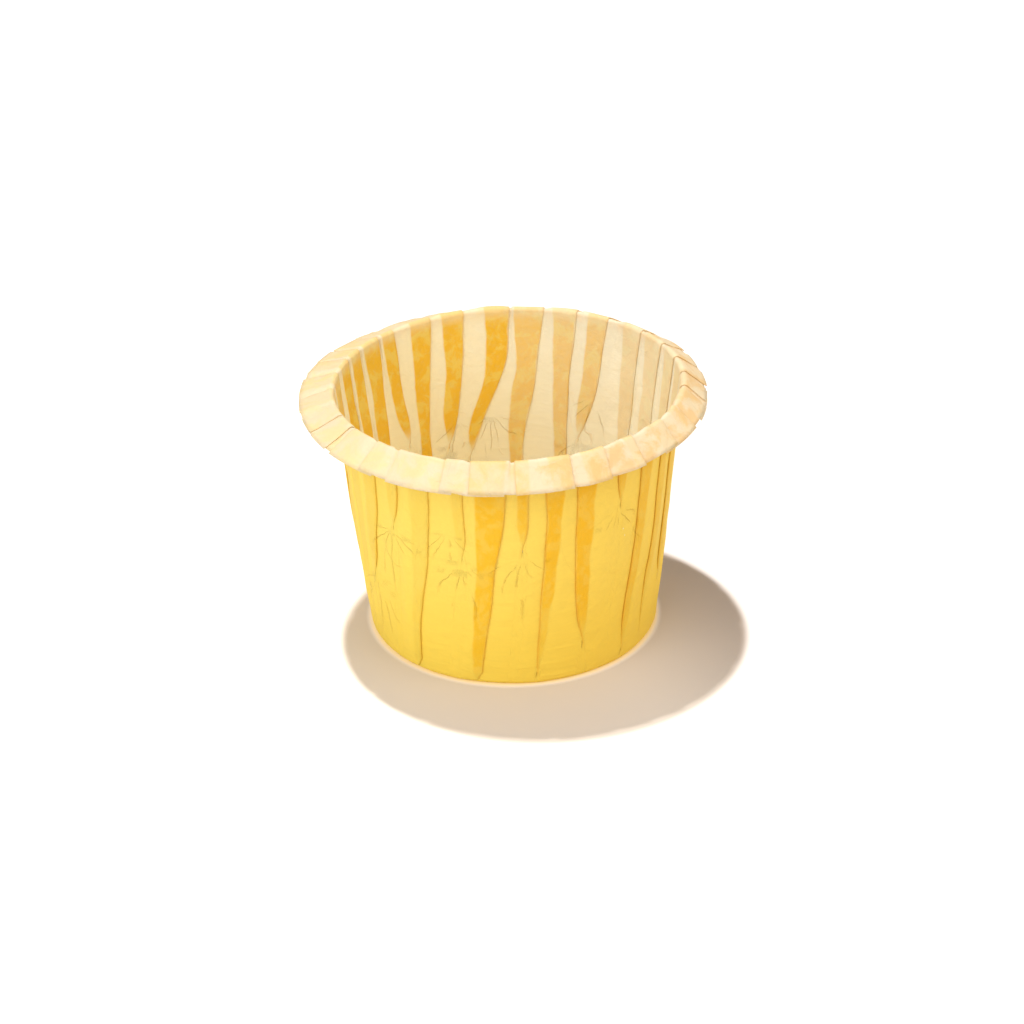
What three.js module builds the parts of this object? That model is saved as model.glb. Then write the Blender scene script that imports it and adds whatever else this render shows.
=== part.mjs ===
import * as THREE from 'three';

// A paper cupcake liner: one flat round sheet drawn up into a cup, so that its wall is
// full of flattened pleats and its rim lies back as a thin ragged collar.
// Millimetres, +Z up, the foot stands on Z = 0 and the cup opens upward.

// Driving sizes.
const BASE_RADIUS = 25;
const RIM_RADIUS = 29.5;
const HEIGHT = 45.1;
const COLLAR_LENGTH = 5.7;
const PAPER = 0.12;
const FOLD_GAP = 0.08;
const HEEL_BEND = 1.0;
const RIM_BEND = 0.6;

// How far the rim strays from a true level circle.
const RIM_SHIFT = -0.42;
const RIM_TILT = 0.42;
const RIM_OVAL = 0.2;

// The collar hangs lower at the front right and lies almost flat at the back left.
const DROOP_MEAN = 33;
const DROOP_SWING = 13;
const DROOP_OVAL = 4;
const COLLAR_OFF_CENTRE = 0.65;

// The pleats round the wall. `at` holds the angle of the pleat's middle in degrees at five
// even heights from the foot to the rim. `width` is its share of the overlapped paper, about
// the overlap in millimetres at the rim. `start` is the height at which it begins, as a part
// of the wall. `side` is +1 where the outer crease faces the growing angle and -1 where it
// faces back. `step` is how far the cut edge jumps across the pleat, in millimetres.
const PLEATS = [
  { at: [-188.0, -187.6, -187.0, -186.4, -186.0], width: 4.2, start: 0.05, side: 1, step: 0.4 },
  { at: [-178.5, -177.6, -176.2, -175.0, -174.0], width: 4.3, start: 0.08, side: 1, step: -0.5 },
  { at: [-169.5, -168.0, -166.0, -164.0, -162.5], width: 4.2, start: 0.04, side: 1, step: 0.5 },
  { at: [-161.0, -159.5, -157.0, -154.6, -153.0], width: 3.8, start: 0.2, side: 1, step: -0.4 },
  { at: [-153.0, -152.0, -149.2, -145.0, -143.5], width: 3.8, start: 0.3, side: 1, step: 0.5 },
  { at: [-141.5, -138.5, -135.5, -133.6, -132.8], width: 2.6, start: 0.58, side: 1, step: -0.3 },
  { at: [-130.6, -128.7, -124.3, -122.3, -121.7], width: 4.4, start: 0.03, side: 1, step: 0.5 },
  { at: [-115.0, -111.5, -108.0, -107.9, -108.3], width: 2.0, start: 0.5, side: 1, step: -0.3 },
  { at: [-105.0, -102.6, -99.9, -97.5, -97.0], width: 5.4, start: 0.03, side: 1, step: -0.7 },
  { at: [-91.5, -89.0, -87.0, -86.8, -86.8], width: 2.2, start: 0.55, side: 1, step: 0.3 },
  { at: [-81.4, -78.1, -75.7, -74.4, -74.0], width: 3.4, start: 0.04, side: -1, step: -0.5 },
  { at: [-63.6, -63.8, -64.8, -64.4, -64.2], width: 4.0, start: 0.1, side: -1, step: -0.8 },
  { at: [-54.0, -53.0, -51.5, -50.3, -50.3], width: 1.8, start: 0.66, side: -1, step: -0.6 },
  { at: [-45.0, -42.0, -38.8, -37.4, -37.0], width: 3.4, start: 0.04, side: -1, step: 0.4 },
  { at: [-33.4, -30.0, -27.5, -25.8, -25.2], width: 2.8, start: 0.05, side: -1, step: -0.4 },
  { at: [-20.0, -17.8, -15.5, -14.6, -14.0], width: 4.2, start: 0.2, side: -1, step: 0.6 },
  { at: [-7.0, -5.8, -4.5, -3.6, -3.0], width: 4.3, start: 0.06, side: 1, step: -0.5 },
  { at: [4.0, 5.6, 7.0, 7.7, 8.0], width: 4.3, start: 0.12, side: 1, step: 0.6 },
  { at: [17.0, 17.8, 18.6, 18.9, 19.0], width: 3.8, start: 0.05, side: 1, step: -0.4 },
  { at: [29.0, 30.2, 31.0, 31.1, 30.8], width: 4.4, start: 0.1, side: 1, step: 0.5 },
  { at: [41.5, 42.3, 42.8, 42.7, 42.5], width: 4.0, start: 0.06, side: 1, step: -0.5 },
  { at: [56.5, 60.0, 61.2, 57.2, 55.8], width: 3.9, start: 0.42, side: 1, step: 0.4 },
  { at: [66.4, 67.5, 69.0, 68.8, 68.2], width: 4.1, start: 0.05, side: 1, step: -0.6 },
  { at: [85.6, 86.2, 85.6, 82.2, 81.0], width: 4.9, start: 0.1, side: 1, step: 0.5 },
  { at: [106.0, 105.2, 102.4, 93.8, 92.2], width: 4.2, start: 0.34, side: 1, step: -0.5 },
  { at: [113.6, 113.2, 112.2, 109.0, 108.1], width: 4.0, start: 0.4, side: 1, step: 0.6 },
  { at: [122.4, 122.5, 122.9, 121.6, 120.2], width: 3.9, start: 0.15, side: 1, step: -0.4 },
  { at: [130.0, 129.2, 129.6, 133.2, 134.3], width: 3.3, start: 0.45, side: 1, step: 0.5 },
  { at: [143.6, 144.4, 145.0, 145.1, 145.1], width: 4.0, start: 0.05, side: 1, step: -0.6 },
  { at: [153.4, 153.8, 154.2, 154.5, 154.7], width: 2.9, start: 0.35, side: 1, step: 0.3 },
  { at: [162.0, 162.4, 162.7, 162.9, 163.0], width: 2.9, start: 0.08, side: 1, step: -0.4 },
];

// How far up the wall the level rows of points lie, as parts of its length.
const WALL_ROWS = [0.07, 0.17, 0.3, 0.42, 0.54, 0.66, 0.78, 0.9];
const HEEL_ROWS = 2;
const RIM_ROWS = 3;

const HALF_PAPER = PAPER / 2;
const LAYER = PAPER + FOLD_GAP;
const FOLD_EASE = 2 * PAPER + FOLD_GAP;
const LEAST_HALF_FOLD = 1.5 * PAPER;
const FLAT_HALF = 0.03 * BASE_RADIUS;
const FLAT_CORNER = FLAT_HALF / 3;

const radians = THREE.MathUtils.degToRad;
const mix = THREE.MathUtils.lerp;
const smooth = THREE.MathUtils.smoothstep;

// The collar's slope below level at an angle round the cup.
function droop(angle) {
  const swing = DROOP_SWING * Math.cos(angle + Math.PI / 4);
  return radians(DROOP_MEAN + swing - DROOP_OVAL * Math.cos(2 * angle));
}

// Points along the arc that rounds a corner, from one direction to the other.
function arcPoints(centre, radius, from, to, steps) {
  const points = [];
  for (let i = 0; i <= steps; i += 1) {
    const turn = mix(from, to, i / steps);
    points.push([centre[0] + radius * Math.cos(turn), centre[1] + radius * Math.sin(turn)]);
  }
  return points;
}

// The sheet's middle line from the floor's edge to the cut edge, in the upright plane at an
// angle. Each point is [radius, height]. `reach` lengthens or shortens the collar there.
function sectionAt(angle, reach) {
  const rim = RIM_RADIUS + RIM_SHIFT * Math.cos(angle) + RIM_OVAL * Math.sin(2 * angle);
  const top = HEIGHT - HALF_PAPER + RIM_TILT * Math.cos(angle);
  const lean = Math.atan2(rim - BASE_RADIUS, top - HALF_PAPER);
  const wallAt = (height) => BASE_RADIUS + (height - HALF_PAPER) * Math.tan(lean);

  const tuck = HEEL_BEND * Math.tan((Math.PI / 2 - lean) / 2);
  const heelCentre = [BASE_RADIUS - tuck, HALF_PAPER + HEEL_BEND];
  const heel = arcPoints(heelCentre, HEEL_BEND, -Math.PI / 2, -lean, HEEL_ROWS);

  const rimHeight = top - RIM_BEND;
  const rimCentre = [wallAt(rimHeight) + RIM_BEND / Math.cos(lean), rimHeight];
  const slope = droop(angle);
  const bend = arcPoints(rimCentre, RIM_BEND, Math.PI - lean, Math.PI / 2 - slope, RIM_ROWS);

  const [low, high] = [heel[HEEL_ROWS], bend[0]];
  const wall = WALL_ROWS.map((part) => [mix(low[0], high[0], part), mix(low[1], high[1], part)]);

  const length = COLLAR_LENGTH - COLLAR_OFF_CENTRE * Math.cos(angle) - RIM_BEND + reach;
  const root = bend[RIM_ROWS];
  const edge = [root[0] + length * Math.cos(slope), root[1] - length * Math.sin(slope)];
  return [...heel, ...wall, ...bend, edge];
}

// The paper-side direction at each point of a line, lengthened at corners so that a line
// drawn at one distance keeps to it. It points to the right of the line's run.
function sideways(line, closed) {
  const count = line.length;
  const normal = (from, to) => {
    const run = Math.hypot(to[0] - from[0], to[1] - from[1]);
    return [(to[1] - from[1]) / run, (from[0] - to[0]) / run];
  };
  return line.map((point, i) => {
    const before = closed || i > 0 ? line[(i + count - 1) % count] : null;
    const after = closed || i < count - 1 ? line[(i + 1) % count] : null;
    const first = before ? normal(before, point) : normal(point, after);
    const second = after ? normal(point, after) : first;
    const share = 1 + first[0] * second[0] + first[1] * second[1];
    return [(first[0] + second[0]) / share, (first[1] + second[1]) / share];
  });
}

// The middle angle of a pleat at a part of the wall's length.
function pleatAngle(pleat, part) {
  const last = pleat.at.length - 1;
  const below = Math.min(Math.floor(part * last), last - 1);
  return radians(mix(pleat.at[below], pleat.at[below + 1], part * last - below));
}

// Half the overlap of every pleat at one row. The paper that a flat disc has to spare at that
// distance from its centre is shared out among the pleats that have begun by then, and two
// neighbours are narrowed where they would meet.
function halfFolds(angles, radius, paperRadius, part) {
  const shares = PLEATS.map((pleat) => pleat.width * smooth(part, pleat.start, pleat.start + 0.2));
  const total = shares.reduce((sum, share) => sum + share, 0) || 1;
  const spare = (Math.PI * (paperRadius - radius)) / 2;
  const halves = shares.map((share) => (spare * share) / total);
  const room = halves.map((half, i) => {
    const next = (i + 1) % halves.length;
    const turn = next > i ? 0 : 2 * Math.PI;
    const free = (angles[next] + turn - angles[i]) * radius - 3 * FOLD_EASE;
    return Math.min(1, free / Math.max(half + halves[next], FOLD_EASE));
  });
  return halves.map((half, i) => {
    const fitted = half * Math.min(room[i], room[(i + halves.length - 1) % halves.length]);
    return fitted > LEAST_HALF_FOLD ? fitted : -FLAT_HALF;
  });
}

// The six points by which the sheet's middle line passes through one pleat, as distances along
// the wall and out from it, with the jump of the cut edge: in over the outer layer, back along
// the middle one and on along the inner one. Below its start the pleat is nearly flat.
function pleatLine(pleat, half) {
  const folded = half > 0;
  const out = folded ? LAYER : 0;
  const corner = folded ? 0 : FLAT_CORNER;
  const end = Math.abs(half) + corner + FOLD_EASE;
  const jump = pleat.step / 2;
  const line = [
    [-end, out, -jump],
    [half - corner, out, -jump],
    [half + corner, 0, -jump],
    [-half - corner, 0, jump],
    [-half + corner, -out, jump],
    [end, -out, jump],
  ];
  return pleat.side > 0 ? line : line.map(([x, y, reach]) => [-x, y, -reach]).reverse();
}

// Both faces of the sheet, row by row from the floor's edge to the cut edge.
function sheetRows() {
  const plain = sectionAt(Math.PI / 2, 0);
  const wallEnd = HEEL_ROWS + WALL_ROWS.length + 1;
  const lengths = [0];
  for (let i = 1; i < plain.length; i += 1) {
    const [a, b] = [plain[i - 1], plain[i]];
    lengths.push(lengths[i - 1] + Math.hypot(b[0] - a[0], b[1] - a[1]));
  }
  const rows = [];
  plain.forEach(([radius], row) => {
    const part = Math.min(1, lengths[row] / lengths[wallEnd]);
    const angles = PLEATS.map((pleat) => pleatAngle(pleat, part));
    const halves = halfFolds(angles, radius, plain[0][0] + lengths[row], part);
    const line = [];
    PLEATS.forEach((pleat, i) => {
      for (const [x, y, reach] of pleatLine(pleat, halves[i])) {
        line.push([angles[i] + x / radius, y, reach]);
      }
    });
    const flat = line.map(([angle, y]) => [angle * radius, y]);
    const turn = 2 * Math.PI * radius;
    const last = flat.length - 1;
    const ahead = [flat[0][0] + turn, flat[0][1]];
    const behind = [flat[last][0] - turn, flat[last][1]];
    const sides = sideways([behind, ...flat, ahead], false).slice(1, -1);
    const face = (offset) => line.map(([angle, y, reach], j) => {
      const around = angle - (sides[j][0] * offset) / radius;
      const away = y - sides[j][1] * offset;
      const section = sectionAt(around, reach);
      const normal = sideways(section, false)[row];
      const r = section[row][0] + normal[0] * away;
      return [r * Math.cos(around), r * Math.sin(around), section[row][1] + normal[1] * away];
    });
    rows.push({ outer: face(HALF_PAPER), inner: face(-HALF_PAPER) });
  });
  return rows;
}

// The closed skin of the sheet: floor, wall and collar on both faces, joined at the cut edge.
function linerGeometry() {
  const rows = sheetRows();
  const count = rows[0].outer.length;
  const positions = [];
  const faces = [];
  const add = (points) => {
    const first = positions.length / 3;
    points.forEach((point) => positions.push(...point));
    return first;
  };
  const outer = rows.map((row) => add(row.outer));
  const inner = rows.map((row) => add(row.inner));
  const under = add([[0, 0, 0]]);
  const floor = add([[0, 0, PAPER]]);
  const strip = (low, high) => {
    for (let j = 0; j < count; j += 1) {
      const k = (j + 1) % count;
      faces.push(low + j, low + k, high + k, low + j, high + k, high + j);
    }
  };
  for (let row = 1; row < rows.length; row += 1) {
    strip(outer[row - 1], outer[row]);
    strip(inner[row], inner[row - 1]);
  }
  strip(outer[rows.length - 1], inner[rows.length - 1]);
  for (let j = 0; j < count; j += 1) {
    const k = (j + 1) % count;
    faces.push(under, outer[0] + k, outer[0] + j);
    faces.push(floor, inner[0] + j, inner[0] + k);
  }
  const geometry = new THREE.BufferGeometry();
  geometry.setAttribute('position', new THREE.Float32BufferAttribute(positions, 3));
  geometry.setIndex(faces);
  geometry.computeVertexNormals();
  return geometry;
}

const paper = new THREE.MeshStandardMaterial({ color: 0xf5d680, roughness: 0.8, metalness: 0 });
paper.side = THREE.DoubleSide;

const liner = new THREE.Mesh(linerGeometry(), paper);
liner.name = 'cupcake_liner';

const object = new THREE.Group();
object.name = 'cupcake_liner_object';
object.add(liner);

export default object;
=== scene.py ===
"""A pale yellow paper cupcake liner standing on a plain white floor.

The liner is one flat round sheet drawn up into a cup. Its wall is full of flattened pleats, each
of three layers, and its rim lies back as a thin ragged collar. All lengths in the classes below
are millimetres, and the meshes are put into Blender in metres.
"""

import logging
import math
from dataclasses import dataclass, field
from enum import Enum
from functools import partial
from typing import Any, Sequence

import bpy
import numpy as np
from mathutils import Euler, Matrix, Vector

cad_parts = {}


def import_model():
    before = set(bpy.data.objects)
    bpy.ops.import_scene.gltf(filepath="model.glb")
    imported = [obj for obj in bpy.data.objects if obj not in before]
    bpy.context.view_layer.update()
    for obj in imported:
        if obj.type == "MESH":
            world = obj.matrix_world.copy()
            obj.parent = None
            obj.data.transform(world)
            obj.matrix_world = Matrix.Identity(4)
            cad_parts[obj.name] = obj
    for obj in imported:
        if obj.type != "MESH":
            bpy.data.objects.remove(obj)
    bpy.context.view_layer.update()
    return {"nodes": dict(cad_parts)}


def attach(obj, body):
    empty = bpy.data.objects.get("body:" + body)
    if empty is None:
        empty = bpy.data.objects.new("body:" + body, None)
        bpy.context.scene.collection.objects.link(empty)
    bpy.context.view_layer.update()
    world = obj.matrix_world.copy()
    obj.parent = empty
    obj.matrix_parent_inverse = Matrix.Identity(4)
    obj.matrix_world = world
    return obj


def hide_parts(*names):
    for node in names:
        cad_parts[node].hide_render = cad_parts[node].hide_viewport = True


LOG = logging.getLogger("cupcake_liner")
MILLIMETRE = 0.001
FULL_TURN = 2.0 * math.pi
WALL_RADIUS = 27.0  # the wall's mean radius
SHORT_PLEAT_START = 0.25  # a pleat that begins higher up the wall is a short one
Array = np.ndarray
Span = tuple[float, float]
Triple = tuple[float, float, float]


class Zone(Enum):
    """The stretches that the sheet's section runs through, from the centre outward."""

    FLOOR = "floor"
    HEEL = "heel"
    WALL = "wall"
    BEND = "bend"
    COLLAR = "collar"


class Face(Enum):
    """The two faces of the sheet, as the direction of its thickness."""

    OUTER = 1
    INNER = -1


class Seed(Enum):
    """The starts of the random draws, one for each thing that is uneven."""

    DROOP = 5
    BULGES = 11
    SLOW_DENTS = 21
    FINE_DENTS = 22
    RIDGES = 23
    PLEAT_LINES = 31
    PLEAT_WIDTHS = 32


@dataclass(frozen=True)
class Pleat:
    """One flattened pleat.

    `at` is the angle of its middle in degrees at five even heights from the foot to the rim.
    `width` is its share of the overlapped paper, `start` the height at which it begins as a part
    of the wall, `side` the way its outer crease faces, and `step` the jump of the cut edge
    across it. `lift` is how far the outer crease stands off the wall, and `tone` how deep
    its three layers and its crease line are coloured, partly the paper's own depth and partly
    painted shade.
    """

    at: tuple[float, ...]
    width: float
    start: float
    side: int
    step: float
    lift: float = 0.02
    tone: float = 1.0

    @property
    def short(self) -> bool:
        """Whether the pleat begins so far up the wall that its tip shows."""
        return self.start > SHORT_PLEAT_START


@dataclass(frozen=True)
class Spot:
    """A place on the wall from which fine creases spread like a fan.

    `at` is its angle in degrees and `height` its part of the wall's height. `reach` is how far
    its creases run, and `strength` how deep they are.
    """

    at: float
    height: float
    reach: float
    strength: float


PLEATS = (
    Pleat((-188.0, -187.6, -187.0, -186.4, -186.0), 4.2, 0.05, 1, 0.2, 0.0, 0.8),
    Pleat((-178.5, -177.6, -176.2, -175.0, -174.0), 4.3, 0.08, 1, -0.25, 0.0, 0.7),
    Pleat((-169.5, -168.0, -166.0, -164.0, -162.5), 4.2, 0.04, -1, 0.2, 0.0, 0.3),
    Pleat((-161.0, -159.5, -157.0, -154.6, -153.0), 3.8, 0.2, -1, -0.4, 0.0, 0.2),
    Pleat((-153.0, -152.0, -149.2, -145.0, -143.5), 3.8, 0.3, 1, 0.5, 0.08, 0.3),
    Pleat((-141.5, -138.5, -135.5, -133.6, -132.8), 2.6, 0.58, 1, -0.3, 0.08, 0.3),
    Pleat((-130.6, -128.7, -124.3, -122.3, -121.7), 4.4, 0.03, 1, 0.5, 0.13, 0.25),
    Pleat((-115.0, -111.5, -108.0, -107.9, -108.3), 2.0, 0.5, 1, -0.3, 0.02, 0.35),
    Pleat((-105.0, -102.6, -99.9, -97.5, -97.0), 5.4, 0.03, 1, -0.35),
    Pleat((-91.5, -89.0, -87.0, -86.8, -86.8), 2.2, 0.55, 1, 0.3),
    Pleat((-82.4, -79.3, -77.1, -75.8, -75.4), 3.4, 0.04, -1, -0.3),
    Pleat((-63.6, -63.8, -64.8, -64.4, -64.2), 4.0, 0.1, -1, -0.45),
    Pleat((-54.0, -53.0, -51.5, -50.3, -50.3), 1.8, 0.66, -1, -0.4, 0.05),
    Pleat((-45.0, -42.0, -38.8, -37.4, -37.0), 3.4, 0.04, -1, 0.4, 0.06, 0.75),
    Pleat((-33.4, -30.0, -27.5, -25.8, -25.2), 2.8, 0.05, -1, -0.4, 0.02, 0.55),
    Pleat((-20.0, -17.8, -15.5, -14.6, -14.0), 4.2, 0.2, -1, 0.6, 0.02, 0.5),
    Pleat((-7.0, -5.8, -4.5, -3.6, -3.0), 4.3, 0.06, 1, -0.5, 0.02, 0.3),
    Pleat((4.0, 5.6, 7.0, 7.7, 8.0), 4.3, 0.12, 1, 0.6, 0.02, 0.4),
    Pleat((17.0, 17.8, 18.6, 18.9, 19.0), 3.8, 0.05, 1, -0.4, 0.02, 0.4),
    Pleat((29.0, 30.2, 31.0, 31.1, 30.8), 4.4, 0.1, 1, 0.5, 0.02, 0.35),
    Pleat((41.5, 42.3, 42.8, 42.7, 42.5), 4.0, 0.06, 1, -0.5, 0.02, 0.4),
    Pleat((58.5, 62.0, 63.2, 59.2, 57.8), 3.9, 0.42, 1, 0.4, 0.02, 0.65),
    Pleat((68.4, 69.5, 71.0, 70.8, 70.2), 4.1, 0.05, 1, -0.6, 0.02, 0.66),
    Pleat((87.6, 88.2, 87.6, 84.2, 83.0), 4.9, 0.1, 1, 0.5, 0.02, 0.75),
    Pleat((108.0, 107.2, 104.4, 95.8, 94.2), 4.2, 0.34, 1, -0.5),
    Pleat((115.6, 115.2, 114.2, 111.0, 110.1), 4.0, 0.4, 1, 0.6),
    Pleat((124.4, 124.5, 124.9, 123.6, 122.2), 3.9, 0.15, 1, -0.4),
    Pleat((132.0, 131.2, 131.6, 135.2, 136.3), 3.3, 0.45, 1, 0.5),
    Pleat((143.6, 144.4, 145.0, 145.1, 145.1), 4.7, 0.05, 1, -0.6),
    Pleat((153.4, 153.8, 154.2, 154.5, 154.7), 4.0, 0.35, 1, 0.3),
    Pleat((162.0, 162.4, 162.7, 162.9, 163.0), 4.0, 0.08, 1, -0.4),
)

SPOTS = (
    Spot(-112.0, 0.62, 4.0, 0.7), Spot(-55.0, 0.6, 4.5, 1.0), Spot(-50.0, 0.48, 4.0, 0.7),
    Spot(-127.0, 0.5, 4.5, 0.7), Spot(97.0, 0.5, 5.0, 1.0), Spot(110.0, 0.5, 5.0, 0.8),
    Spot(58.0, 0.6, 4.0, 0.8),
)

# What the finish reads at the floor's two centres, outside and inside, where it isn't 0.
POLE_NUMBERS = {"overlap": (-4.0, -4.0), "sharp": (9.0, 9.0), "side": (1.0, -1.0)}


def ease(value: Any, low: float, high: float) -> Any:
    """The smooth step 3t^2 - 2t^3 of t, where t runs from 0 at `low` to 1 at `high`."""
    part = np.clip((value - low) / (high - low), 0.0, 1.0)
    return part * part * (3.0 - 2.0 * part)


def round_wall(angle: Array, middle: float) -> Array:
    """How far angles lie from a middle one, in millimetres round the wall's mean radius."""
    return (np.mod(angle - middle + math.pi, FULL_TURN) - math.pi) * WALL_RADIUS


def ring_noise(around: Array, along: Array, cells: tuple[int, int], seed: Seed) -> Array:
    """Smooth noise between -1 and 1 that closes on itself round the cup.

    Random values stand on a lattice, and a point takes the eased blend of its cell's corners.

    Args:
        around: angles in radians.
        along: positions up the sheet, from 0 to 1.
        cells: lattice cells round the cup and along the sheet.
        seed: start of the random draws.

    Returns:
        The noise at each point.
    """
    lattice = np.random.default_rng(seed.value).uniform(-1.0, 1.0, (cells[0], cells[1] + 2))
    u = np.mod(around / FULL_TURN, 1.0) * cells[0]
    v = np.clip(along, 0.0, 1.0) * cells[1]
    column, row = np.floor(u).astype(int) % cells[0], np.floor(v).astype(int)
    across, up = ease(u - np.floor(u), 0.0, 1.0), ease(v - row, 0.0, 1.0)
    right = (column + 1) % cells[0]
    low = lattice[column, row] * (1.0 - across) + lattice[right, row] * across
    high = lattice[column, row + 1] * (1.0 - across) + lattice[right, row + 1] * across
    return low * (1.0 - up) + high * up


def on_both_faces(shape: tuple[int, int], values: Array) -> Array:
    """Spread values over the whole grid of points and repeat them for the second face."""
    return np.stack([np.broadcast_to(values, shape)] * 2)


@dataclass
class Section:
    """The sheet's section in the upright plane at any angle round the cup."""

    base_radius: float = 25.0
    rim_radius: float = 29.5
    height: float = 45.1
    collar_length: float = 5.6
    paper: float = 0.09
    heel_bend: float = 1.0
    rim_bend: float = 0.6
    rim_shift: float = -0.42
    rim_tilt: float = 0.42
    rim_oval: float = 0.2
    droop_mean: float = 33.0
    droop_swing: float = 13.0
    droop_oval: float = 4.0
    droop_wave: float = 3.0
    droop_cells: tuple[int, int] = (13, 1)
    collar_off_centre: float = 0.48

    def droop(self, angle: Array) -> Array:
        """The collar's slope below level, in radians, with a slow uneven wave."""
        swing = self.droop_swing * np.cos(angle + math.pi / 4.0)
        level = np.zeros_like(angle)
        wave = self.droop_wave * ring_noise(angle, level, self.droop_cells, Seed.DROOP)
        return np.radians(self.droop_mean + swing - self.droop_oval * np.cos(2.0 * angle) + wave)

    def at(self, zone: Zone, part: float, angle: Array, reach: Array) -> tuple[Array, ...]:
        """Point and outward direction of the section.

        The heel and the rim are arcs, and the floor, the wall and the collar are straight.

        Args:
            zone: the stretch of the section.
            part: how far along that stretch, from 0 to 1.
            angle: angles round the cup.
            reach: how much longer than usual the collar is at each angle.

        Returns:
            Radius, height, and the radial and upright parts of the outward direction.
        """
        half = self.paper / 2.0
        rim = self.rim_radius + self.rim_shift * np.cos(angle)
        rim = rim + self.rim_oval * np.sin(2.0 * angle)
        top = self.height - half + self.rim_tilt * np.cos(angle)
        lean = np.arctan2(rim - self.base_radius, top - half)
        tuck = self.heel_bend * np.tan((math.pi / 2.0 - lean) / 2.0)
        heel_r, heel_z = self.base_radius - tuck, half + self.heel_bend
        bend_z = top - self.rim_bend
        wall_r = self.base_radius + (bend_z - half) * np.tan(lean)
        bend_r = wall_r + self.rim_bend / np.cos(lean)
        slope = self.droop(angle)
        if zone is Zone.FLOOR:
            flat = np.zeros_like(angle)
            return part * heel_r, flat + half, flat, flat - 1.0
        if zone is Zone.HEEL:
            turn = -math.pi / 2.0 + part * (math.pi / 2.0 - lean)
            r = heel_r + self.heel_bend * np.cos(turn)
            return r, heel_z + self.heel_bend * np.sin(turn), np.cos(turn), np.sin(turn)
        if zone is Zone.WALL:
            low = np.array([heel_r + self.heel_bend * np.cos(-lean),
                            heel_z + self.heel_bend * np.sin(-lean)])
            high = np.array([bend_r - self.rim_bend * np.cos(lean),
                             bend_z + self.rim_bend * np.sin(lean)])
            r, z = low + (high - low) * part
            return r, z, np.cos(lean), -np.sin(lean)
        if zone is Zone.BEND:
            turn = math.pi - lean - part * (math.pi / 2.0 - lean + slope)
            r = bend_r + self.rim_bend * np.cos(turn)
            z = bend_z + self.rim_bend * np.sin(turn)
            return r, z, -np.cos(turn), -np.sin(turn)
        usual = self.collar_length - self.collar_off_centre * np.cos(angle) - self.rim_bend
        length = part * (usual + reach)
        r = bend_r + self.rim_bend * np.sin(slope) + length * np.cos(slope)
        z = bend_z + self.rim_bend * np.cos(slope) - length * np.sin(slope)
        return r, z, -np.sin(slope), -np.cos(slope)


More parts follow.
